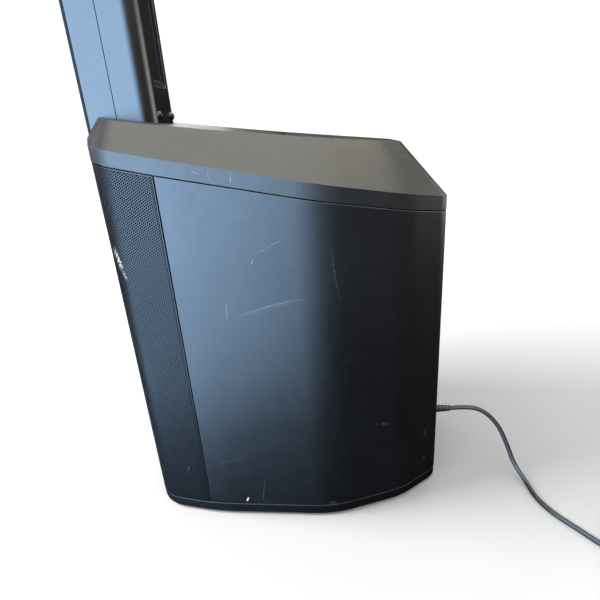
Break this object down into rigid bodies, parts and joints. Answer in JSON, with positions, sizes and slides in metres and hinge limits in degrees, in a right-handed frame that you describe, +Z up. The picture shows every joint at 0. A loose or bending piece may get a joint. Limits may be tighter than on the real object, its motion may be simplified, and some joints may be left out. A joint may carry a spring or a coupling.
{
  "type": "column pa system",
  "caption": "Portable column loudspeaker: faceted bass cabinet with wrapped grille and sloping cap, lift-off spacer and array, rear control panel and mains lead.",
  "frame": {"origin": "on the floor, at the middle of the cabinet's width and depth", "axes": "+Z up along the column, -Y to the audience, +Y to the control panel, +X to the side"},
  "size_m": [0.4249, 0.7861, 2.0236],
  "materials": {
    "cabinet_plastic": "fine satin texture, worn",
    "cap_plastic": "fine leather-like texture, satin",
    "grille_steel": "black powder coat, perforated",
    "foam_cloth": "open black foam",
    "base_plastic": "satin moulding",
    "rubber": "matt",
    "board_wood": "birch plywood",
    "felt": "grey felt",
    "black_plastic": "satin",
    "steel_black": "black paint",
    "panel_metal": "textured black paint",
    "cooler": "black anodised",
    "screw_steel": "black zinc",
    "contact_brass": "gold flash",
    "ferrite": "ferrite",
    "motor_steel": "zinc plated",
    "cone_paper": "pressed pulp",
    "copper": "enamelled wire",
    "spider_cloth": "resin-dipped cloth",
    "circuit": "solder mask",
    "display_glass": "smoked window",
    "knob_plastic": "soft touch",
    "column_plastic": "satin",
    "lead_pvc": "soft PVC"
  },
  "bodies": {
    "cabinet": {"base_plinth": "base_plastic", "rubber_feet": "rubber", "cabinet_shell": "cabinet_plastic", "roof_board": "board_wood", "front_baffle": "board_wood", "port_tubes": "black_plastic", "cabinet_brace": "board_wood", "damping_pads": "felt", "front_grille": "grille_steel", "grille_cloth": "foam_cloth", "top_cap": "cap_plastic", "handle_bar": "black_plastic", "column_socket": "black_plastic", "socket_contacts": "contact_brass", "woofer_basket": "steel_black", "woofer_surround": "rubber", "woofer_spider": "spider_cloth", "woofer_magnet": "ferrite", "woofer_pole": "motor_steel", "woofer_bolts": "screw_steel", "rear_panel": "panel_metal", "display_window": "display_glass", "combo_inputs": "black_plastic", "link_output": "black_plastic", "line_jacks": "screw_steel", "heat_sink": "cooler", "ac_inlet": "black_plastic", "rocker_frame": "black_plastic", "panel_screws": "screw_steel", "mixer_board": "circuit", "amplifier_board": "circuit", "power_supply": "circuit", "mains_plug": "lead_pvc", "mains_lead": "lead_pvc", "lead_coil": "lead_pvc", "coil_tie": "foam_cloth", "wall_plug": "lead_pvc"},
    "spacer": {"spacer_rear_shell": "column_plastic", "spacer_front_shell": "column_plastic", "spacer_strip": "black_plastic", "spacer_foot": "black_plastic", "spacer_head": "black_plastic", "spacer_screws": "screw_steel"},
    "array": {"array_rear_shell": "column_plastic", "array_grille": "grille_steel", "array_baffle": "black_plastic", "array_drivers": "cone_paper", "array_foot": "black_plastic", "array_end_cap": "column_plastic"},
    "woofer_motion": {"woofer_cone": "cone_paper", "woofer_dust_cap": "cone_paper", "woofer_voice_coil": "copper"},
    "knob_1": {"channel_knob_1": "knob_plastic"},
    "knob_2": {"channel_knob_2": "knob_plastic"},
    "knob_3": {"channel_knob_3": "knob_plastic"},
    "knob_4": {"channel_knob_4": "knob_plastic"},
    "menu_knob": {"menu_knob": "knob_plastic"},
    "button_back": {"button_back": "knob_plastic"},
    "button_mute": {"button_mute": "knob_plastic"},
    "power_rocker": {"power_rocker": "knob_plastic"}
  },
  "joints": [
    {"name": "spacer_lift", "type": "slide", "parent": "cabinet", "child": "spacer", "axis": [0, 0, 1], "range_m": [0, 0.06]},
    {"name": "array_lift", "type": "slide", "parent": "spacer", "child": "array", "axis": [0, 0, 1], "range_m": [0, 0.06]},
    {"name": "woofer_travel", "type": "slide", "parent": "cabinet", "child": "woofer_motion", "axis": [0, -1, 0], "range_m": [-0.006, 0.006], "stiffness_N_per_m": 4000, "deforming": ["woofer_surround", "woofer_spider"]},
    {"name": "knob_1_turn", "type": "hinge", "parent": "cabinet", "child": "knob_1", "pos_m": [-0.045, 0.2093, 0.296], "axis": [0, 1, 0], "range_deg": [-150, 150]},
    {"name": "knob_2_turn", "type": "hinge", "parent": "cabinet", "child": "knob_2", "pos_m": [-0.015, 0.2093, 0.296], "axis": [0, 1, 0], "range_deg": [-150, 150]},
    {"name": "knob_3_turn", "type": "hinge", "parent": "cabinet", "child": "knob_3", "pos_m": [0.015, 0.2093, 0.296], "axis": [0, 1, 0], "range_deg": [-150, 150]},
    {"name": "knob_4_turn", "type": "hinge", "parent": "cabinet", "child": "knob_4", "pos_m": [0.045, 0.2093, 0.296], "axis": [0, 1, 0], "range_deg": [-150, 150]},
    {"name": "menu_turn", "type": "hinge", "parent": "cabinet", "child": "menu_knob", "pos_m": [0.04, 0.2093, 0.346], "axis": [0, 1, 0], "continuous": true},
    {"name": "back_press", "type": "slide", "parent": "cabinet", "child": "button_back", "axis": [0, -1, 0], "range_m": [0, 0.0015], "stiffness_N_per_m": 400},
    {"name": "mute_press", "type": "slide", "parent": "cabinet", "child": "button_mute", "axis": [0, -1, 0], "range_m": [0, 0.0015], "stiffness_N_per_m": 400},
    {"name": "rocker_tilt", "type": "hinge", "parent": "cabinet", "child": "power_rocker", "pos_m": [-0.026, 0.2083, 0.086], "axis": [1, 0, 0], "range_deg": [-16, 0]}
  ]
}
